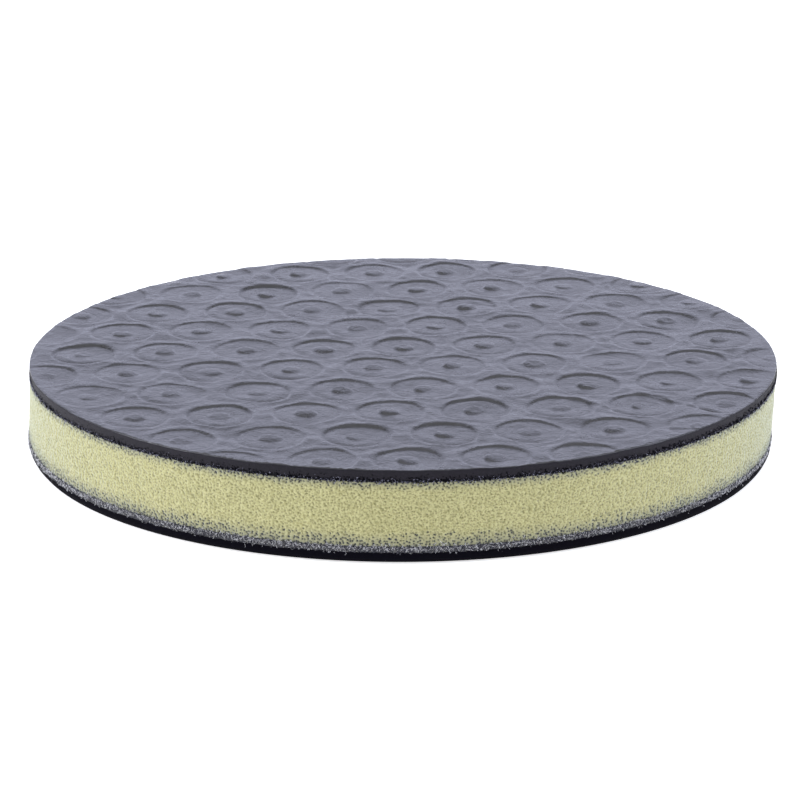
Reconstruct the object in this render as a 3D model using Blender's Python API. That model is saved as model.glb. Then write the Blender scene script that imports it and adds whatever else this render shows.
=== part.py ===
"""Round laminated surface-finishing pad that fixes to a machine's backing plate by hook and loop.

Five layers share one upright axis. From the bottom: a loop-fabric backing with a chamfered rim, its bond
line, an open-cell foam core, the bond line of the face, and a moulded rubber face sheet. The face carries a
slightly skewed lattice of round sunken cells, each with a nub standing in its middle.
Units are metres and +Z is up. The origin is the centre of the underside.
"""

from math import cos, hypot, radians, sin, tau

import bmesh
import bpy
from mathutils import Matrix, Vector

# Overall
PAD_DIAMETER = 0.1524
LAYER_GAP = 0.0003  # clearance between one layer and the next

# Layer thicknesses, from the bottom up
BACKING_THICKNESS = 0.00235
BACKING_BOND_THICKNESS = 0.0008
FOAM_THICKNESS = 0.0123
FACE_BOND_THICKNESS = 0.0003
FACE_THICKNESS = 0.00155

# Chamfer around the rim of the underside
CHAMFER_WIDTH = 0.0016
CHAMFER_HEIGHT = 0.0019

# Sunken cells of the face, and the nub in each
CELL_DIAMETER = 0.0128
CELL_DEPTH = 0.00045
NUB_DIAMETER = 0.0044
NUB_DROP = 0.0001  # how far a nub's top stays below the face

# Cell lattice: two directions, not quite 60 degrees apart
ROW_PITCH = 0.01645
ROW_ANGLE = radians(4.8)
COLUMN_PITCH = 0.0166
COLUMN_ANGLE = radians(67.3)
FIRST_CELL = (-0.0160, 0.0024)
RIM_BITE = 0.0015  # a cell is left out if it reaches less than this far inside the rim
RIM_WEB = 0.0004  # a cell is left out if this little rubber, or less, would part it from the rim

# Facets
PAD_SEGMENTS = 96
CELL_SEGMENTS = 12
SHARP_ANGLE = radians(35)
CUTTER_RISE = 0.001  # how far a cell's cutter stands above the face


def clear_scene():
    for obj in list(bpy.data.objects):
        bpy.data.objects.remove(obj, do_unlink=True)


def make_material(name, color, roughness, metallic=0.0):
    material = bpy.data.materials.new(name)
    material.use_nodes = True
    shader = material.node_tree.nodes["Principled BSDF"]
    shader.inputs["Base Color"].default_value = (*color, 1.0)
    shader.inputs["Roughness"].default_value = roughness
    shader.inputs["Metallic"].default_value = metallic
    material.diffuse_color = (*color, 1.0)
    return material


def object_from(bm, name, material=None):
    """Links a new object that holds this bmesh, smooth around its sides and sharp at its rims."""
    bmesh.ops.recalc_face_normals(bm, faces=bm.faces)
    mesh = bpy.data.meshes.new(name)
    bm.to_mesh(mesh)
    bm.free()
    mesh.shade_smooth()
    mesh.set_sharp_from_angle(angle=SHARP_ANGLE)
    if material:
        mesh.materials.append(material)
    obj = bpy.data.objects.new(name, mesh)
    bpy.context.scene.collection.objects.link(obj)
    return obj


def place(obj, parent, height):
    obj.parent = parent
    obj.location.z = height
    return obj


def frustum(lower_radius, upper_radius, height):
    """A closed round frustum that stands on its own origin."""
    bm = bmesh.new()
    bmesh.ops.create_cone(
        bm,
        cap_ends=True,
        segments=PAD_SEGMENTS,
        radius1=lower_radius,
        radius2=upper_radius,
        depth=height,
        matrix=Matrix.Translation((0, 0, height / 2)),
    )
    return bm


def make_layer(name, thickness, material):
    """A plain round layer of the pad's full diameter."""
    return object_from(frustum(PAD_DIAMETER / 2, PAD_DIAMETER / 2, thickness), name, material)


def make_loop_backing(material):
    """The loop fabric: its rim is chamfered below and upright above."""
    bm = frustum(PAD_DIAMETER / 2 - CHAMFER_WIDTH, PAD_DIAMETER / 2, CHAMFER_HEIGHT)
    top = max(bm.faces, key=lambda face: face.calc_center_median().z)
    grown = bmesh.ops.extrude_face_region(bm, geom=[top])["geom"]
    bmesh.ops.delete(bm, geom=[top], context="FACES_ONLY")
    raised = [item for item in grown if isinstance(item, bmesh.types.BMVert)]
    bmesh.ops.translate(bm, verts=raised, vec=(0, 0, BACKING_THICKNESS - CHAMFER_HEIGHT))
    return object_from(bm, "loop_backing", material)


def cell_centres():
    """Lattice points whose cell clearly lies inside the rim or is clearly cut by it."""
    pad_radius, cell_radius = PAD_DIAMETER / 2, CELL_DIAMETER / 2
    first = Vector(FIRST_CELL)
    row = ROW_PITCH * Vector((cos(ROW_ANGLE), sin(ROW_ANGLE)))
    column = COLUMN_PITCH * Vector((cos(COLUMN_ANGLE), sin(COLUMN_ANGLE)))
    reach = 2 + int(2 * (pad_radius + cell_radius + hypot(*FIRST_CELL)) / min(ROW_PITCH, COLUMN_PITCH))
    steps = range(-reach, reach + 1)
    points = [first + row * i + column * j for i in steps for j in steps]
    bites = [p for p in points if pad_radius + cell_radius - p.length > RIM_BITE]
    return [p for p in bites if abs(pad_radius - cell_radius - p.length) > RIM_WEB]


def make_cell_cutter():
    """The space of every cell: a turned moat around its nub, and the thin gap above the nub."""
    floor, nub_top, above = -CELL_DEPTH, -NUB_DROP, CUTTER_RISE
    nub_radius, cell_radius = NUB_DIAMETER / 2, CELL_DIAMETER / 2
    outline = [(0, above), (cell_radius, above), (cell_radius, floor), (nub_radius, floor)]
    outline += [(nub_radius, nub_top), (0, nub_top)]
    bm = bmesh.new()
    for centre in cell_centres():
        middle = Vector((centre.x, centre.y, 0))
        turned = [bm.verts.new(middle + Vector((radius, 0, height))) for radius, height in outline]
        profile = [bm.edges.new(pair) for pair in zip(turned, turned[1:])]
        bmesh.ops.spin(
            bm, geom=turned + profile, cent=middle, axis=(0, 0, 1), angle=tau, steps=CELL_SEGMENTS, use_merge=True
        )
    bmesh.ops.remove_doubles(bm, verts=bm.verts, dist=1e-6)
    cutter = object_from(bm, "cell_cutter")
    cutter.hide_render = True
    cutter.display_type = "WIRE"
    return cutter


def make_face_sheet(material, cutter):
    """The rubber face, with its cells cut in from above."""
    face = make_layer("face_sheet", FACE_THICKNESS, material)
    cut = face.modifiers.new("cells", "BOOLEAN")
    cut.operation = "DIFFERENCE"
    cut.solver = "EXACT"
    cut.object = cutter
    return face


def main():
    clear_scene()
    rubber = make_material("face_rubber", (0.22, 0.22, 0.28), 0.55)
    bond = make_material("face_bond", (0.012, 0.012, 0.018), 0.8)
    foam = make_material("yellow_foam", (0.60, 0.57, 0.31), 0.9)
    fuzz = make_material("backing_bond", (0.22, 0.22, 0.30), 0.9)
    loops = make_material("black_loop", (0.008, 0.008, 0.011), 0.85)

    pad = bpy.data.objects.new("pad", None)
    bpy.context.scene.collection.objects.link(pad)

    cutter = make_cell_cutter()
    layers = [
        (make_loop_backing(loops), BACKING_THICKNESS),
        (make_layer("backing_bond", BACKING_BOND_THICKNESS, fuzz), BACKING_BOND_THICKNESS),
        (make_layer("foam_core", FOAM_THICKNESS, foam), FOAM_THICKNESS),
        (make_layer("face_bond", FACE_BOND_THICKNESS, bond), FACE_BOND_THICKNESS),
        (make_face_sheet(rubber, cutter), FACE_THICKNESS),
    ]
    height = 0.0
    for layer, thickness in layers:
        place(layer, pad, height)
        height += thickness + LAYER_GAP
    place(cutter, pad, height - LAYER_GAP)


main()
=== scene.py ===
# A round rubber-faced finishing pad, lying on its loop backing: its looks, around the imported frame.
import math

import bmesh
import bpy
import numpy as np
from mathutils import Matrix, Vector, noise


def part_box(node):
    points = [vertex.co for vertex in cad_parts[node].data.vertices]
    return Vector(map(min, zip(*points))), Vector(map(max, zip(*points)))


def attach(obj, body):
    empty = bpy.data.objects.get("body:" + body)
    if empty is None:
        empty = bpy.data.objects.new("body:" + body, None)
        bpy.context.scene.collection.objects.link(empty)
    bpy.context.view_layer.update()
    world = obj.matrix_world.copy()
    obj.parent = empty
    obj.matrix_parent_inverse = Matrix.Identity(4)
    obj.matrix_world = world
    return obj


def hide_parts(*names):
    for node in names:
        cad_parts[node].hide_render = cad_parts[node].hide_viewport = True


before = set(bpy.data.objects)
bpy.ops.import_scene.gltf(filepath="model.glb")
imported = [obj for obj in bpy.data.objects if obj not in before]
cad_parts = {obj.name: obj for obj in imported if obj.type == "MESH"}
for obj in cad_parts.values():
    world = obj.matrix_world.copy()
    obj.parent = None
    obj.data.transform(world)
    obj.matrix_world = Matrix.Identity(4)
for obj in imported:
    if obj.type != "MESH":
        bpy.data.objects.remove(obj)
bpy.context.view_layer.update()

mm = 0.001
scene = bpy.context.scene

faceLow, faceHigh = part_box("face_sheet")
faceBondLow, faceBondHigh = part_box("face_bond")
foamLow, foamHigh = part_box("foam_core")
backBondLow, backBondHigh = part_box("backing_bond")
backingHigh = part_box("loop_backing")[1]

padRadius = (faceHigh[0] - faceLow[0]) / 2
faceTop = faceHigh[2]
faceSeam = faceBondHigh[2]  # rubber above, bond below
foamTop = (faceBondLow[2] + foamHigh[2]) / 2
foamBottom = (foamLow[2] + backBondHigh[2]) / 2
backingTop = (backBondLow[2] + backingHigh[2]) / 2


def vertsOf(geometry):
    return [item for item in geometry if isinstance(item, bmesh.types.BMVert)]


def edgesOf(geometry):
    return [item for item in geometry if isinstance(item, bmesh.types.BMEdge)]


def facesOf(geometry):
    return [item for item in geometry if isinstance(item, bmesh.types.BMFace)]


def growLoop(bm, edges):
    # extrudes a ring of edges in place and gives the new ring's vertices and edges
    grown = bmesh.ops.extrude_edge_only(bm, edges=edges)["geom"]
    return vertsOf(grown), edgesOf(grown)


def makeObject(bm, name, materials, smooth=True, recalculate=True):
    if recalculate:
        bmesh.ops.recalc_face_normals(bm, faces=bm.faces)
    mesh = bpy.data.meshes.new(name)
    bm.to_mesh(mesh)
    bm.free()
    mesh.polygons.foreach_set("use_smooth", [smooth] * len(mesh.polygons))
    for material in materials:
        mesh.materials.append(material)
    obj = bpy.data.objects.new(name, mesh)
    scene.collection.objects.link(obj)
    return obj


def readPoints(mesh):
    flat = np.empty(len(mesh.vertices) * 3, np.float32)
    mesh.vertices.foreach_get("co", flat)
    return flat.reshape(-1, 3).astype(float)


def writePoints(mesh, points):
    mesh.vertices.foreach_set("co", points.astype(np.float32).ravel())
    mesh.update()


def paint(mesh, name, values):
    layer = mesh.attributes.new(name, "FLOAT", "POINT")
    layer.data.foreach_set("value", np.asarray(values, np.float32))


def smoothStep(low, high, values):
    share = np.clip((values - low) / (high - low), 0, 1)
    return share * share * (3 - 2 * share)


def multiply(bm, doublings):
    # copies everything in the mesh onto itself, so that each copy's vertices follow the last one's
    for doubling in range(doublings):
        bmesh.ops.duplicate(bm, geom=bm.verts[:] + bm.edges[:] + bm.faces[:])


def strandBundle(name, doublings, sides, steps, material):
    # many straight strands of unit radius and length in one mesh, and the points of each, along its z
    bm = bmesh.new()
    bmesh.ops.create_circle(bm, cap_ends=True, segments=sides, radius=1)
    edges = bm.edges[:]
    for step in range(steps):
        verts, edges = growLoop(bm, edges)
        bmesh.ops.translate(bm, verts=verts, vec=(0, 0, 1 / steps))
    bmesh.ops.contextual_create(bm, geom=edges)
    bmesh.ops.recalc_face_normals(bm, faces=bm.faces)
    multiply(bm, doublings)
    bundle = makeObject(bm, name, [material], recalculate=False)
    return bundle, readPoints(bundle.data).reshape(2**doublings, -1, 3)


def noiseAt(points, size, seed=0.0):
    # smooth noise of about -0.5 to 0.5 with features of this size
    offset = Vector((seed * 17.3, seed * 5.1, seed * 9.7))
    return np.array([noise.noise(Vector(p) / size + offset) for p in points])


class Wire:  # a node's output, so that shader maths is written as Python
    def __init__(self, finish, socket):
        self.finish, self.socket = finish, socket

    def maths(self, operation, first, second):
        return self.finish.node("Math", {"operation": operation}, {0: first, 1: second})

    def __add__(self, other):
        return self.maths("ADD", self, other)

    def __sub__(self, other):
        return self.maths("SUBTRACT", self, other)

    def __rsub__(self, other):
        return self.maths("SUBTRACT", other, self)

    def __mul__(self, other):
        return self.maths("MULTIPLY", self, other)

    __radd__, __rmul__ = __add__, __mul__

    def between(self, low, high):  # 0 below low, 1 above high, smooth between
        sockets = {"Value": self, "From Min": low, "From Max": high}
        return self.finish.node("MapRange", {"interpolation_type": "SMOOTHSTEP"}, sockets)


class Finish:  # a material and the few ways its nodes are made
    def __init__(self, name, **constants):
        self.material = bpy.data.materials.new(name)
        self.material.use_nodes = True
        self.tree = self.material.node_tree
        self.shader = self.tree.nodes["Principled BSDF"]
        self.place = self.node("TexCoord", output="Object")
        self.set(**constants)

    def feed(self, socket, value):
        if isinstance(value, Wire):
            self.tree.links.new(value.socket, socket)
        else:
            color = isinstance(value, tuple) and socket.type == "RGBA"
            socket.default_value = (*value, 1) if color else value

    def node(self, kind, settings={}, sockets={}, output=0):
        made = self.tree.nodes.new("ShaderNode" + kind)
        for name, value in settings.items():
            setattr(made, name, value)
        for name, value in sockets.items():
            self.feed(made.inputs[name], value)
        return Wire(self, made.outputs[output])

    def set(self, **values):
        for name, value in values.items():
            self.feed(self.shader.inputs[name.replace("_", " ")], value)

    def grain(self, size, detail=2.0, roughness=0.5):
        sockets = {"Vector": self.place, "Scale": 1 / size, "Detail": detail, "Roughness": roughness}
        return self.node("TexNoise", {}, sockets)

    def mix(self, share, first, second):
        return self.node("Mix", {"data_type": "RGBA"}, {0: share, 6: first, 7: second}, output=2)

    def attribute(self, name):
        return self.node("Attribute", {"attribute_name": name}, output="Fac")

    def bump(self, height, depth, under=None):
        sockets = {"Height": height, "Distance": depth, "Strength": 1.0}
        if under:
            sockets["Normal"] = under
        return self.node("Bump", {}, sockets)


rubberLook = {
    "color": (0.020, 0.020, 0.023),
    "worn": (0.030, 0.030, 0.036),
    # painted glints: light specks that stand in for the sparkle of the rubber's surface
    "speck": (0.30, 0.30, 0.36),
    "roughness": 0.25,
    "wrinkleDepth": 0.085 * mm,
    "creaseDepth": 0.032 * mm,
    "grainDepth": 0.036 * mm,
}


def rubberFinish():
    look = rubberLook
    finish = Finish("faceRubber", IOR=1.5)
    blotch = finish.grain(4 * mm, detail=4.0, roughness=0.6)
    wrinkle = finish.grain(1.1 * mm, detail=3.0, roughness=0.55)
    crease = finish.grain(2.6 * mm, detail=2.0, roughness=0.45)
    fine = finish.grain(0.34 * mm, detail=3.0, roughness=0.6)
    # painted glints: sparse light specks mixed into the colour, standing in for the surface's sparkle
    speck = finish.grain(0.45 * mm, detail=1.0).between(0.76, 0.79)
    color = finish.mix(blotch.between(0.35, 0.7), look["color"], look["worn"])
    color = finish.mix(speck * 0.4, color, look["speck"])
    ridge = finish.node("Math", {"operation": "ABSOLUTE"}, {0: crease - 0.5})
    ridge = 1 - ridge.between(0.0, 0.045)  # thin raised lines where the noise crosses its middle
    normal = finish.bump(wrinkle, look["wrinkleDepth"])
    normal = finish.bump(ridge, look["creaseDepth"], under=normal)
    normal = finish.bump(fine, look["grainDepth"], under=normal)
    finish.set(Base_Color=color, Roughness=look["roughness"] + (blotch - 0.5) * 0.15, Normal=normal)
    return finish.material


cutRubberLook = {
    "dark": (0.0030, 0.0020, 0.0055),
    "light": (0.0120, 0.0095, 0.0160),
    "grain": 0.30 * mm,
    "grainDepth": 0.12 * mm,
}


def cutRubberFinish():
    look = cutRubberLook
    finish = Finish("cutRubber", IOR=1.45, Specular_IOR_Level=0.28, Sheen_Weight=0.06)
    fine = finish.grain(look["grain"], detail=4.0, roughness=0.7)
    color = finish.mix(fine.between(0.35, 0.7), look["dark"], look["light"])
    normal = finish.bump(fine, look["grainDepth"])
    finish.set(Base_Color=color, Roughness=0.62 + fine * 0.2, Normal=normal)
    return finish.material


foamLook = {
    "strut": (0.495, 0.469, 0.235),
    "wall": (0.330, 0.308, 0.130),
    # painted shade: the darker yellow stands for the shade inside the pores
    "pore": (0.170, 0.158, 0.068),
    "ink": (0.014, 0.014, 0.032),
    "soiled": (0.215, 0.222, 0.168),
    "aged": (0.39, 0.38, 0.20),
    "sheen": (0.78, 0.90, 1.0),
    "grainDepth": 0.05 * mm,
}


def foamFinish():
    look = foamLook
    finish = Finish("yellowFoam", Roughness=0.9, Specular_IOR_Level=0.15)
    finish.set(Sheen_Weight=0.75, Sheen_Roughness=0.45, Sheen_Tint=look["sheen"])
    pore, stain, ink, tone = (finish.attribute(name) for name in ("pore", "stain", "ink", "tone"))
    tint = finish.grain(4 * mm, detail=3.0)
    fine = finish.grain(0.34 * mm, detail=2.0, roughness=0.6)
    color = finish.mix(fine.between(0.35, 0.65), look["wall"], look["strut"])
    color = finish.mix(tint * 0.3, color, look["aged"])
    color = finish.mix(stain * 0.65, color, look["soiled"])
    # painted shade: the pores are darkened in the colour, on top of the shallow pits in the geometry;
    # the ink colour is glue that fills some of the pores
    shadedPoreMask = 1 - (pore + (fine - 0.5) * 0.3 - ink * 0.03).between(0.08, 0.46)
    dark = finish.mix(ink, look["pore"], look["ink"])
    strength = (tone * 0.35 + ink * 0.4 + 0.52).between(0.0, 1.0)
    color = finish.mix(shadedPoreMask * strength, color, dark)
    normal = finish.bump(pore.between(0.1, 0.6) + fine * 0.4, look["grainDepth"])
    finish.set(Base_Color=color, Normal=normal)
    return finish.material


def bondFinish(name, dark, light, size):
    # specks of light fibre in a dark melt
    finish = Finish(name, Roughness=0.85, Specular_IOR_Level=0.2)
    speck = finish.grain(size, detail=3.0, roughness=0.7)
    color = finish.mix(speck.between(0.5, 0.75), dark, light)
    finish.set(Base_Color=color, Normal=finish.bump(speck, 0.12 * mm))
    return finish.material


def strandFinish(name, dark, light, roughness=0.75, gloss=0.25):
    # each strand has its own tone, and a little grain along it
    finish = Finish(name, Roughness=roughness, Specular_IOR_Level=gloss)
    tone, fine = finish.attribute("tone"), finish.grain(0.12 * mm, detail=2.0)
    color = finish.mix((tone + (fine - 0.5) * 0.4).between(0.0, 1.0), dark, light)
    finish.set(Base_Color=color, Normal=finish.bump(fine, 0.03 * mm))
    return finish.material


def loopFinish(name, color, size):
    finish = Finish(name, Roughness=0.9, Specular_IOR_Level=0.04)
    fine = finish.grain(size, detail=3.0, roughness=0.7)
    shade = finish.mix(fine.between(0.3, 0.75), color, tuple(2.2 * part for part in color))
    finish.set(Base_Color=shade, Normal=finish.bump(fine, 0.08 * mm))
    return finish.material


print("finishes")
rubber = rubberFinish()
cutRubber = cutRubberFinish()
foam = foamFinish()
faceBondInk = bondFinish("faceBondInk", (0.002, 0.002, 0.004), (0.010, 0.010, 0.016), 0.25 * mm)
backingMelt = bondFinish("backingMelt", (0.035, 0.035, 0.045), (0.34, 0.335, 0.30), 0.22 * mm)
inkTeeth = strandFinish("inkTeeth", (0.0012, 0.0012, 0.0025), (0.012, 0.012, 0.022), 0.9, 0.02)
paleFleck = strandFinish("paleFleck", (0.06, 0.06, 0.09), (0.36, 0.36, 0.46))
lilacFuzz = strandFinish("lilacFuzz", (0.012, 0.012, 0.024), (0.76, 0.76, 0.79))
blackLoop = loopFinish("blackLoop", (0.0014, 0.0012, 0.0028), 0.3 * mm)
pileLoop = strandFinish("pileLoop", (0.005, 0.005, 0.008), (0.034, 0.034, 0.042), 0.6)


faceSizes = {
    "rowPitch": 16.45 * mm,
    "rowAngle": math.radians(4.76),
    "columnPitch": 16.60 * mm,
    "columnAngle": math.radians(67.3),
    "firstCell": (-16.0 * mm, 3.26 * mm),
    "stretch": 1.035,  # cells are this much longer across the rows than along them
    "sidePoints": 9,  # points along each side of a cell's hexagon
    "edgeRound": 0.12 * mm,
    "drift": 0.30 * mm,  # how far a cell may sit off the lattice
    "warp": 0.13 * mm,
    "wander": (0.022, 0.014),  # how far a ring strays from a circle, as an oval and as a triangle
    "depth": (0.56, 0.25),  # usual value and spread of what differs from cell to cell
    "nubHeight": (0.30, 0.07),
    "nubRadius": (2.30, 0.13),
    "tilt": 0.010,
    "nubTilt": 0.035,
    "swell": (9 * mm, 0.13),  # size and height in mm of the unevenness, from wide to narrow
    "pucker": (3.4 * mm, 0.10),
    "crinkle": (1.6 * mm, 0.035),
    "puckerFold": 0.07,  # folds between cells, as a height in mm
    "rimCalm": 0.36,  # how much of the relief is left at the rim
    "wornWidth": 0.5 * mm,
    "merge": 0.01 * mm,
    "cutLevels": 4,
}
# radius and height in mm: the floor and its moat, the wall, the rolled lip, and the land beyond
lipRadius, lipHeight = 6.60, -0.095  # a cell's depth is counted from here
cellOutline = [(0, -0.33), (2.4, -0.375), (3.1, -0.34), (4.4, -0.275), (5.1, -0.295), (5.65, -0.355)]
cellOutline += [(6.1, -0.42), (6.22, -0.40), (6.36, -0.27), (6.49, -0.165), (lipRadius, lipHeight)]
cellOutline += [(6.73, -0.034), (6.90, 0.002), (7.1, 0.014), (7.35, 0.014), (7.8, -0.003)]
cellOutline += [(8.6, -0.05), (9.7, -0.105)]
tileRadii = [0.6, 1.0, 1.4, 1.7, 1.95, 2.15, 2.35, 2.65, 3.3, 4.2, 5.0, 5.7]
tileRadii += [6.07, 6.21, 6.34, 6.47, 6.60, 6.74, 6.92]
landShares = [0.35, 0.7, 1.0]  # rings between the last radius and the hexagon
# start, end and rise in mm of the creases that handling has left: one side drops, the other stands up
wornFolds = [((46, -28.5), (58, -38), 0.12), ((57, -37), (67, -45.5), 0.13)]
wornFolds += [((32, -30), (45, -43), 0.09), ((50, -50.5), (57, -51.5), 0.10)]
wornFolds += [((-58, -22), (-49, -26), 0.07), ((12, 40), (24, 34), 0.08)]


def polar(length, angle):
    return Vector((math.cos(angle), math.sin(angle), 0)) * length


def latticePoints(sizes, reach):
    row = polar(sizes["rowPitch"], sizes["rowAngle"])
    column = polar(sizes["columnPitch"], sizes["columnAngle"])
    first = Vector((*sizes["firstCell"], 0))
    steps = range(-14, 15)
    points = [first + row * i + column * j for i in steps for j in steps]
    return row, column, [p for p in points if p.length < reach]


def circumcentre(a, b):
    # the point as far from the origin as from a and b
    double = 2 * (a.x * b.y - a.y * b.x)
    aa, bb = a.length_squared, b.length_squared
    return Vector((b.y * aa - a.y * bb, a.x * bb - b.x * aa, 0)) / double


def hexOutline(row, column, sidePoints):
    around = [row, column, column - row, -row, -column, row - column]
    corners = [circumcentre(a, b) for a, b in zip(around, around[1:] + around[:1])]
    outline = []
    for start, end in zip(corners, corners[1:] + corners[:1]):
        outline += [start.lerp(end, step / sidePoints) for step in range(sidePoints)]
    return outline


def cellTile(outline):
    # concentric rings around a cell's middle, the last ones easing out to the hexagon
    bm = bmesh.new()
    ring = bmesh.ops.create_circle(bm, cap_ends=False, segments=len(outline), radius=1)["verts"]
    stretch = Vector((1, faceSizes["stretch"], 1))
    for vert, corner in zip(ring, outline):
        vert.co = corner.normalized() * tileRadii[0] * mm * stretch
    edges = bm.edges[:]
    middle = bm.faces.new(ring)
    bmesh.ops.poke(bm, faces=[middle])
    for last, radius in zip(tileRadii, tileRadii[1:]):
        verts, edges = growLoop(bm, edges)
        bmesh.ops.scale(bm, verts=verts, vec=(radius / last,) * 3)
    angles = np.array([math.atan2(corner.y, corner.x) for corner in outline])
    for share in landShares:
        verts, edges = growLoop(bm, edges)
        for vert in verts:
            turn = angles - math.atan2(vert.co.y, vert.co.x)
            nearest = int(np.argmin(np.abs(np.angle(np.exp(1j * turn)))))
            inner = outline[nearest].normalized() * tileRadii[-1] * mm * stretch
            vert.co = inner.lerp(outline[nearest], share)
    mesh = bpy.data.meshes.new("cellTile")
    bm.to_mesh(mesh)
    bm.free()
    return mesh


def foldHeight(points, start, end, rise, width):
    # a crease along a line: a rise beside a dip, dying out at the ends
    start, end = np.array(start), np.array(end)
    along = (end - start) / np.linalg.norm(end - start)
    across = np.array((-along[1], along[0]))
    offset = points[:, :2] - (start + end) / 2
    reach = np.linalg.norm(end - start) / 2
    share = (offset @ along) / reach
    side = (offset @ across) / width
    return rise * 1.65 * side * np.exp(-side * side / 2) * np.exp(-(share**4))


class CellField:  # every cell's place and temper, and the height of the face at any point
    def __init__(self, sizes, centres):
        self.sizes = sizes
        self.centres = np.array([(c.x, c.y) for c in centres])
        draw = np.random.default_rng(20)
        count = len(centres)
        self.drift = draw.normal(0, 0.6, (count, 2)) * sizes["drift"]
        self.depth = np.clip(draw.normal(*sizes["depth"], count), 0.22, 1.15)
        self.nubHeight = np.clip(draw.normal(*sizes["nubHeight"], count), 0.18, 0.5)
        self.nubRadius = draw.normal(*sizes["nubRadius"], count)
        self.tilt = draw.normal((-0.013, -0.002), sizes["tilt"], (count, 2))
        self.nubTilt = draw.normal((-0.05, 0.035), sizes["nubTilt"], (count, 2))
        self.dimple = np.clip(draw.normal(0.0, 0.06, count), 0, 0.13)
        self.phase = draw.uniform(0, math.tau, (count, 2))
        self.folds = self.pickFolds(draw)

    def pickFolds(self, draw):
        # short puckers that join each cell to its neighbours in the row
        folds = []
        row = np.array(polar(self.sizes["rowPitch"], self.sizes["rowAngle"]).xy)
        for centre in self.centres:
            middle = centre + row / 2 + draw.normal(0, 0.5, 2) * mm
            lean = row / np.linalg.norm(row) + np.array((0, draw.normal(0, 0.22)))
            reach = draw.uniform(2.4, 3.8) * mm
            rise = -np.clip(draw.normal(0.9, 0.8), -0.5, 2.2) * self.sizes["puckerFold"]
            width = draw.uniform(0.7, 1.2) * mm
            folds.append((middle - lean * reach, middle + lean * reach, rise, width))
        return folds

    def nearest(self, points):
        gaps = ((points[:, None, :2] - self.centres[None]) ** 2).sum(2)
        return gaps.argmin(1)

    def shift(self, points):
        cell = self.nearest(points)
        away = np.linalg.norm(points[:, :2] - self.centres[cell], axis=1)
        hold = 1 - smoothStep(7.4 * mm, 8.3 * mm, away)
        moved = self.drift[cell] * hold[:, None]
        for axis in range(2):
            moved[:, axis] += noiseAt(points, 5 * mm, 3 + axis) * self.sizes["warp"] * 2
        return moved

    def height(self, points):
        sizes = self.sizes
        cell = self.nearest(points)
        offset = points[:, :2] - self.shift(points) - self.centres[cell]
        offset[:, 1] /= sizes["stretch"]
        angle = np.arctan2(offset[:, 1], offset[:, 0])
        away = np.linalg.norm(offset, axis=1) / mm
        for lobes, stray, phase in zip((2, 3), sizes["wander"], self.phase[cell].T):
            away = away * (1 + stray * np.sin(lobes * angle + phase) * smoothStep(3, 6, away))
        outline = np.array(cellOutline).T
        base = np.interp(away, outline[0], outline[1])
        base = np.where(away < lipRadius, lipHeight + (base - lipHeight) * self.depth[cell], base)
        inside = 1 - smoothStep(5.0, 6.3, away)
        base += inside * (offset / mm * self.tilt[cell]).sum(1)
        share = np.clip(away / self.nubRadius[cell], 0, 1)
        knob = (1 - share**4) * self.nubHeight[cell]
        knob += (1 - smoothStep(0.75, 1.0, share)) * (offset / mm * self.nubTilt[cell]).sum(1)
        knob -= self.dimple[cell] * (1 - smoothStep(0.1, 0.6, share))
        land = smoothStep(6.6, 7.4, away)
        swell, pucker, crinkle = (
            noiseAt(points, sizes[name][0], seed) * sizes[name][1] * 2
            for name, seed in (("swell", 6), ("pucker", 7), ("crinkle", 8))
        )
        relief = base + knob + swell + pucker * (0.3 + 0.7 * land) + crinkle * (0.4 + 0.6 * land)
        for start, end, rise, width in self.folds:
            relief += foldHeight(points, start, end, rise, width) * (0.15 + 0.85 * land)
        for start, end, rise in wornFolds:
            start, end = np.array(start) * mm, np.array(end) * mm
            relief += foldHeight(points, start, end, rise, sizes["wornWidth"])
        rimGap = padRadius - np.linalg.norm(points[:, :2], axis=1)
        calm = sizes["rimCalm"] + (1 - sizes["rimCalm"]) * smoothStep(0, 5 * mm, rimGap)
        return relief * calm * mm


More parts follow.
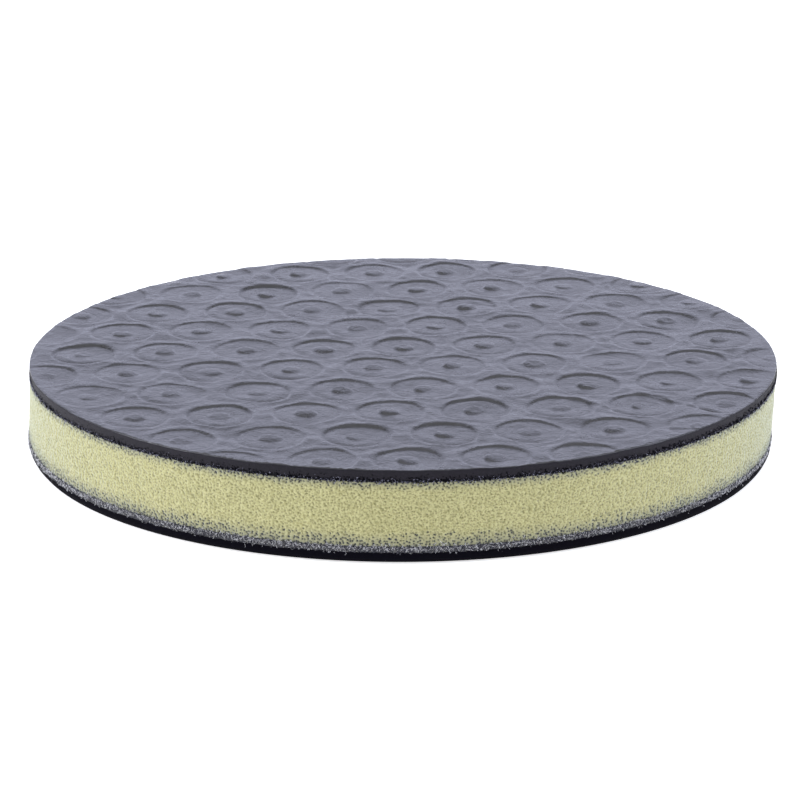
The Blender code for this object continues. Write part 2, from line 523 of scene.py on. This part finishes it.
def makeFaceSheet():
    sizes = faceSizes
    row, column, centres = latticePoints(sizes, padRadius + 12 * mm)
    tile = cellTile(hexOutline(row, column, sizes["sidePoints"]))
    bm = bmesh.new()
    for centre in centres:
        before = len(bm.verts)
        bm.from_mesh(tile)
        bm.verts.ensure_lookup_table()
        bmesh.ops.translate(bm, verts=bm.verts[before:], vec=centre)
    bpy.data.meshes.remove(tile)
    bmesh.ops.remove_doubles(bm, verts=bm.verts, dist=sizes["merge"])

    field = CellField(sizes, centres)
    flat = np.array([v.co for v in bm.verts])
    for vert, move in zip(bm.verts, field.shift(flat)):
        vert.co.xy += Vector(move)

    rim = padRadius - sizes["edgeRound"]
    beyond = [f for f in bm.faces if all(v.co.xy.length > rim for v in f.verts)]
    bmesh.ops.delete(bm, geom=beyond, context="FACES")
    for vert in bm.verts:
        away = vert.co.xy.length
        if away > rim:
            vert.co.xy *= rim / away
    bmesh.ops.remove_doubles(bm, verts=bm.verts, dist=sizes["merge"])

    heights = field.height(np.array([v.co for v in bm.verts]))
    for vert, height in zip(bm.verts, heights):
        vert.co.z = faceTop + height

    edges = [e for e in bm.edges if e.is_boundary]
    cutFaces = set()
    grown = bmesh.ops.extrude_edge_only(bm, edges=edges)["geom"]  # the small round at the cut
    for vert in vertsOf(grown):
        vert.co.xy *= padRadius / rim
        vert.co.z -= sizes["edgeRound"]
    for level in range(sizes["cutLevels"]):
        grown = bmesh.ops.extrude_edge_only(bm, edges=edgesOf(grown))["geom"]
        cutFaces.update(facesOf(grown))
        for vert in vertsOf(grown):
            vert.co.z += (faceSeam - vert.co.z) / (sizes["cutLevels"] - level)
    cap = bmesh.ops.contextual_create(bm, geom=edgesOf(grown))["faces"]
    for face in [*cutFaces, *cap]:
        face.material_index = 1
    sheet = makeObject(bm, "faceSheet", [rubber, cutRubber])
    sheet.data.set_sharp_from_angle(angle=math.radians(50))
    return sheet


print("rubber face")
faceSheet = makeFaceSheet()
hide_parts("face_sheet")
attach(faceSheet, "root")


foamSizes = {
    "around": 2400,
    "rows": 62,
    "poreSpacing": 0.59 * mm,
    "poreDepth": 0.12 * mm,
    "roughCut": 0.10 * mm,
    "inset": 0.05 * mm,
    "stainHeight": 3.6 * mm,
    "stainWaver": (2.2 * mm, 0.8 * mm),  # size and height of the stain's unevenness
    "topStain": 1.7,  # how many times lower the stain is at the foam's top
    "lean": -0.6 * mm,  # the cut leans a little, so the lower layers sit to the left
}


def leanAt(z):
    return foamSizes["lean"] * (foamTop - z) / (foamTop - foamBottom)


def poreField(along, up, circumference, spacing, seed):
    # distance to the nearest of the pores scattered on the unrolled wall, and that pore's tone
    draw = np.random.default_rng(seed)
    columns = int(round(circumference / spacing))
    rows = int(math.ceil((up.max() - up.min()) / spacing)) + 4
    jitter = draw.uniform((-0.46, -0.3), (0.46, 0.3), (columns, rows, 2))
    lift = draw.uniform(0, 1, columns)  # each column has a height of its own, so that no rows show
    size = draw.uniform(0.8, 1.15, (columns, rows))
    tone = draw.uniform(0, 1, (columns, rows))
    step = circumference / columns
    column = np.floor(along / step).astype(int)
    nearest, nearestTone = np.full(len(along), 9.0), np.zeros(len(along))
    for i in (-1, 0, 1):
        c = (column + i) % columns
        row = np.floor((up - up.min()) / spacing - lift[c]).astype(int) + 2
        for j in (-1, 0, 1):
            r = np.clip(row + j, 0, rows - 1)
            x = (column + i + 0.5 + jitter[c, r, 0]) * step
            y = up.min() + (r - 2 + 0.5 + lift[c] + jitter[c, r, 1]) * spacing
            gap = np.hypot(along - x, up - y) / spacing / size[c, r]
            nearestTone = np.where(gap < nearest, tone[c, r], nearestTone)
            nearest = np.minimum(nearest, gap)
    return nearest, nearestTone


def makeFoamCore():
    sizes = foamSizes
    bm = bmesh.new()
    ring = bmesh.ops.create_circle(bm, cap_ends=True, segments=sizes["around"], radius=padRadius)
    bmesh.ops.translate(bm, verts=ring["verts"], vec=(0, 0, foamBottom))
    edges = bm.edges[:]
    step = (foamTop - foamBottom) / sizes["rows"]
    for row in range(sizes["rows"]):
        verts, edges = growLoop(bm, edges)
        bmesh.ops.translate(bm, verts=verts, vec=(0, 0, step))
    bmesh.ops.contextual_create(bm, geom=edges)
    core = makeObject(bm, "foamCore", [foam])

    points = readPoints(core.data)
    angle = np.arctan2(points[:, 1], points[:, 0]) % math.tau
    nearest, tone = poreField(
        angle * padRadius, points[:, 2], math.tau * padRadius, sizes["poreSpacing"], 5
    )
    edgeGap = np.minimum(points[:, 2] - foamBottom, (foamTop - points[:, 2]) * sizes["topStain"])
    waverSize, waverHeight = sizes["stainWaver"]
    edgeGap += noiseAt(points, waverSize, 4) * waverHeight
    stain = 1 - smoothStep(-0.2 * mm, sizes["stainHeight"], edgeGap)
    ink = smoothStep(-0.12, 0.12, stain**1.2 * 1.4 - tone)  # the pores that dirt has filled
    pit = np.exp(-((nearest / 0.34) ** 2)) * sizes["poreDepth"] * (0.5 + tone + ink)
    rough = noiseAt(points, 3.0 * mm, 1) + noiseAt(points, 0.9 * mm, 2) * 0.5
    share = 1 - (sizes["inset"] + pit - rough * sizes["roughCut"]) / padRadius
    points[:, 0] *= share
    points[:, 1] *= share
    points[:, 0] += leanAt(points[:, 2])
    writePoints(core.data, points)
    paint(core.data, "pore", nearest)
    paint(core.data, "stain", stain)
    paint(core.data, "ink", ink)
    paint(core.data, "tone", tone)
    return core


print("foam core")
foamCore = makeFoamCore()
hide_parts("foam_core")
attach(foamCore, "root")


bandSizes = {
    "around": 1800,
    "inset": 0.5 * mm,  # how far the flat sides stop inside the rim
    "levels": (0.0, 0.25, 0.5, 0.75, 1.0),
    "waves": 38,  # how often the ragged edge swings around the pad
    "bumps": 0.05 * mm,
}


def raggedBand(name, low, high, proud, fringeLow, fringeHigh, seed, material):
    # a thin disc whose upright rim has ragged edges that lap over its neighbours
    around, inset = bandSizes["around"], bandSizes["inset"]
    bm = bmesh.new()
    ring = bmesh.ops.create_circle(bm, cap_ends=True, segments=around, radius=padRadius - inset)
    bmesh.ops.translate(bm, verts=ring["verts"], vec=(0, 0, low))
    edges = bm.edges[:]
    for level in bandSizes["levels"]:
        verts, edges = growLoop(bm, edges)
        for vert in verts:
            vert.co.z = low + (high - low) * level
            vert.co.xy *= (padRadius + proud) / vert.co.xy.length
    verts, edges = growLoop(bm, edges)
    for vert in verts:
        vert.co.z = high
        vert.co.xy *= (padRadius - inset) / vert.co.xy.length
    bmesh.ops.contextual_create(bm, geom=edges)
    band = makeObject(bm, name, [material])

    points = readPoints(band.data)
    draw = np.random.default_rng(seed)
    angle = np.arctan2(points[:, 1], points[:, 0]) % math.tau
    column = np.round(angle / math.tau * around).astype(int) % around
    share = (points[:, 2] - low) / (high - low)
    atRim = np.hypot(points[:, 0], points[:, 1]) > padRadius - inset / 2
    fine = draw.uniform(0, 1, (2, around)) ** 1.6
    turns = np.arange(around) / around * math.tau
    circle = [Vector((math.cos(turn), math.sin(turn), seed)) for turn in turns]
    wide = np.array([noise.noise(spot * bandSizes["waves"]) for spot in circle])
    reachLow = fringeLow * (0.25 + fine[0] + wide * 0.8)
    reachHigh = fringeHigh * (0.25 + fine[1] + wide * 0.8)
    points[:, 2] -= np.where(atRim, np.clip(1 - 2 * share, 0, 1) * reachLow[column], 0)
    points[:, 2] += np.where(atRim, np.clip(2 * share - 1, 0, 1) * reachHigh[column], 0)
    bumps = draw.uniform(-1, 1, len(points)) * bandSizes["bumps"]
    away = np.hypot(points[:, 0], points[:, 1])
    share = 1 + np.where(atRim, bumps, 0) / away
    points[:, 0] *= share
    points[:, 1] *= share
    points[:, 0] += leanAt(points[:, 2]) * (points[:, 2] < foamTop)
    writePoints(band.data, points)
    return band


print("bond lines")
faceFringe = {"proud": -0.02 * mm, "fringeLow": 0.12 * mm, "fringeHigh": 0.05 * mm}
faceBond = raggedBand("faceBond", foamTop, faceSeam, seed=31, material=faceBondInk, **faceFringe)
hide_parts("face_bond")
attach(faceBond, "root")

backingFringe = {"proud": 0.0, "fringeLow": 0.15 * mm, "fringeHigh": 0.08 * mm}
backingBond = raggedBand(
    "backingBond", backingTop, foamBottom, seed=32, material=backingMelt, **backingFringe
)
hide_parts("backing_bond")
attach(backingBond, "root")


def rimStrands(name, sizes, seed, material):
    # short curled strands that lie on the upright rim, each with its own tone
    strands, unit = strandBundle(name, sizes["doublings"], 3, 3, material)
    count = len(unit)
    draw = np.random.default_rng(seed)
    length = draw.uniform(*sizes["length"], count)[:, None]
    thick = draw.uniform(*sizes["thick"], count)[:, None]
    heading = draw.normal(sizes["heading"], sizes["spread"], count)[:, None]
    curl = draw.uniform(-sizes["curl"], sizes["curl"], count)[:, None]
    proud = draw.uniform(*sizes["proud"], count)[:, None]
    around = draw.uniform(0, math.tau, count)[:, None]
    height = draw.normal(sizes["height"], sizes["band"], count)[:, None]
    along = unit[:, :, 2]
    turn = heading + curl * (along - 0.5)
    sweep = np.where(np.abs(curl) < 0.05, 0.05, curl)
    start, side = heading - curl / 2, unit[:, :, 0] * thick
    right = (np.sin(turn) - np.sin(start)) / sweep * length - side * np.sin(turn)
    up = (np.cos(start) - np.cos(turn)) / sweep * length + side * np.cos(turn)
    taper = 1 - 0.5 * along**3
    out = proud * np.sin(along * math.pi) + unit[:, :, 1] * thick * taper
    angle, radius, z = around + right / padRadius, padRadius + out, height + up
    points = np.stack((radius * np.cos(angle) + leanAt(z), radius * np.sin(angle), z), 2)
    writePoints(strands.data, points.reshape(-1, 3))
    tone = np.clip(draw.beta(*sizes["tone"], count), 0, 1)
    paint(strands.data, "tone", np.repeat(tone, unit.shape[1]))
    return strands


print("fibres along the bond lines")
teethSizes = {
    "doublings": 12,
    "length": (0.10 * mm, 0.42 * mm),
    "thick": (0.05 * mm, 0.12 * mm),
    "heading": -math.pi / 2,
    "spread": 1.3,
    "curl": 1.2,
    "proud": (0.01 * mm, 0.06 * mm),
    "height": foamTop + 0.50 * mm,
    "band": 0.36 * mm,
    "tone": (0.8, 5.0),
}
fleckSizes = {
    "doublings": 12,
    "length": (0.12 * mm, 0.34 * mm),
    "thick": (0.03 * mm, 0.06 * mm),
    "heading": -math.pi / 2,
    "spread": 1.2,
    "curl": 2.0,
    "proud": (0.05 * mm, 0.12 * mm),
    "height": foamTop + 0.10 * mm,
    "band": 0.30 * mm,
    "tone": (1.5, 1.5),
}
fuzzSizes = {
    "doublings": 13,
    "length": (0.22 * mm, 0.70 * mm),
    "thick": (0.028 * mm, 0.058 * mm),
    "heading": 0.3,
    "spread": 1.6,
    "curl": 4.5,
    "proud": (0.02 * mm, 0.16 * mm),
    "height": (backingTop + foamBottom) / 2 + 0.16 * mm,
    "band": 0.37 * mm,
    "tone": (0.9, 0.9),
}
for name, sizes, seed, material, slot in (
    ("faceBondTeeth", teethSizes, 41, inkTeeth, "face_bond"),
    ("faceBondFlecks", fleckSizes, 42, paleFleck, "face_bond"),
    ("backingFuzz", fuzzSizes, 43, lilacFuzz, "backing_bond"),
):
    strands = rimStrands(name, sizes, seed, material)
    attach(strands, "root")


backingSizes = {
    "segments": 512,
    "rimTuck": 1.6 * mm,
    "groundHeight": 0.9 * mm,
}


def makeBackingGround():
    sizes = backingSizes
    tuck, top = sizes["rimTuck"], backingTop
    outline = [
        (padRadius - 3.0 * mm, sizes["groundHeight"]),
        (padRadius - 2.2 * mm, 0.45 * mm),
        (padRadius - tuck, 0.12 * mm),
        (padRadius - tuck * 0.62, 0.30 * mm),
        (padRadius - tuck * 0.28, 0.95 * mm),
        (padRadius - 0.06 * mm, 1.75 * mm),
        (padRadius, top),
    ]
    bm = bmesh.new()
    ring = bmesh.ops.create_circle(bm, cap_ends=True, segments=sizes["segments"], radius=outline[0][0])
    bmesh.ops.translate(bm, verts=ring["verts"], vec=(0, 0, outline[0][1]))
    edges = bm.edges[:]
    for radius, height in outline[1:]:
        verts, edges = growLoop(bm, edges)
        for vert in verts:
            vert.co.xy *= radius / vert.co.xy.length
            vert.co.z = height
    bmesh.ops.contextual_create(bm, geom=edges)
    bmesh.ops.translate(bm, verts=bm.verts, vec=(foamSizes["lean"], 0, 0))
    ground = makeObject(bm, "loopGround", [blackLoop])
    ground.data.set_sharp_from_angle(angle=math.radians(60))
    return ground


pileSizes = {
    "doublings": 13,
    "reach": padRadius - 2.4 * mm,
    "footing": 0.95 * mm,  # where the loops leave the ground
    "lowest": (0.06 * mm, 0.40 * mm),
    "span": (0.35 * mm, 0.75 * mm),
    "thick": 0.09 * mm,
    "scatter": 0.25 * mm,
}


def makeLoopPile():
    # arched loops on a sunflower spread, hanging from the ground to the surface that the pad lies on
    sizes = pileSizes
    pile, unit = strandBundle("loopPile", sizes["doublings"], 3, 3, pileLoop)
    count = len(unit)
    draw = np.random.default_rng(51)
    order = np.arange(count) + 0.5
    golden = math.pi * (3 - math.sqrt(5))
    reach = sizes["reach"] * np.sqrt(order / count)
    middle = np.stack((reach * np.cos(order * golden), reach * np.sin(order * golden)), 1)
    middle += draw.normal(0, sizes["scatter"], (count, 2))
    heading = draw.uniform(0, math.tau, count)[:, None]
    span = draw.uniform(*sizes["span"], count)[:, None]
    drop = sizes["footing"] - draw.uniform(*sizes["lowest"], count)[:, None] - sizes["thick"]
    turn = unit[:, :, 2] * math.pi
    ahead = -np.cos(turn) * (span + unit[:, :, 0] * sizes["thick"])
    below = np.sin(turn) * (drop + unit[:, :, 0] * sizes["thick"])
    aside = unit[:, :, 1] * sizes["thick"]
    x = middle[:, :1] + ahead * np.cos(heading) - aside * np.sin(heading) + foamSizes["lean"]
    y = middle[:, 1:] + ahead * np.sin(heading) + aside * np.cos(heading)
    writePoints(pile.data, np.stack((x, y, sizes["footing"] - below), 2).reshape(-1, 3))
    paint(pile.data, "tone", np.repeat(draw.uniform(0, 1, count), unit.shape[1]))
    return pile


print("loop backing")
loopGround = makeBackingGround()
loopPile = makeLoopPile()
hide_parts("loop_backing")
for piece in (loopGround, loopPile):
    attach(piece, "root")


cameraView = {
    "reach": 8.822 * padRadius,  # from the middle of the face
    "elevation": math.radians(16.436),
    "drop": math.radians(0.831),  # the pad stands this far above the middle of the picture
    "swing": math.radians(0.054),
    "lens": 147.47,
}


def makeCamera():
    view = cameraView
    camera = bpy.data.objects.new("camera", bpy.data.cameras.new("camera"))
    scene.collection.objects.link(camera)
    camera.data.lens, camera.data.sensor_width = view["lens"], 36
    camera.data.clip_start, camera.data.clip_end = 0.01, 20
    camera.location = Vector((0, 0, faceTop)) + view["reach"] * Vector(
        (0, -math.cos(view["elevation"]), math.sin(view["elevation"]))
    )
    tilt = math.radians(90) - view["elevation"] - view["drop"]
    camera.rotation_euler = (tilt, 0, view["swing"])
    scene.camera = camera


def makeFloor():
    bm = bmesh.new()
    bmesh.ops.create_grid(bm, x_segments=2, y_segments=2, size=4)
    finish = Finish("paleFloor", Roughness=0.8, Specular_IOR_Level=0.1)
    finish.set(Base_Color=(0.92, 0.92, 0.92), Emission_Color=(1.0, 1.0, 1.0), Emission_Strength=0.7)
    floor = makeObject(bm, "floor", [finish.material], smooth=False)


def makeLight(name, place, size, power, color=(1, 1, 1), aim=(0, 0, 0)):
    data = bpy.data.lights.new(name, "AREA")
    data.shape, data.size, data.size_y = "RECTANGLE", size[0], size[1]
    data.energy, data.color = power, color
    light = bpy.data.objects.new(name, data)
    scene.collection.objects.link(light)
    light.location = place
    light.rotation_euler = (Vector(aim) - Vector(place)).to_track_quat("-Z", "Y").to_euler()


def makeWorld():
    world = bpy.data.worlds.new("studio")
    world.use_nodes = True
    world.node_tree.nodes["Background"].inputs["Color"].default_value = (0.97, 0.97, 1.0, 1)
    world.node_tree.nodes["Background"].inputs["Strength"].default_value = 0.3
    scene.world = world


print("floor, light and camera")
makeWorld()
makeFloor()
makeLight("topLight", (0, 0.2, 2.2), (3.0, 3.0), 24)
makeLight("backLight", (0, 2.0, 0.82), (4.0, 1.6), 22.2, (0.74, 0.77, 1.02), aim=(0, 0, 0.82))
makeLight("leftLight", (-1.4, -0.3, 0.7), (1.0, 1.0), 21.6, (0.96, 0.99, 1.10))
makeLight("rightLight", (1.4, -0.3, 0.7), (1.0, 1.0), 14, (0.92, 0.98, 1.18))
makeCamera()
scene.view_settings.view_transform = "Standard"
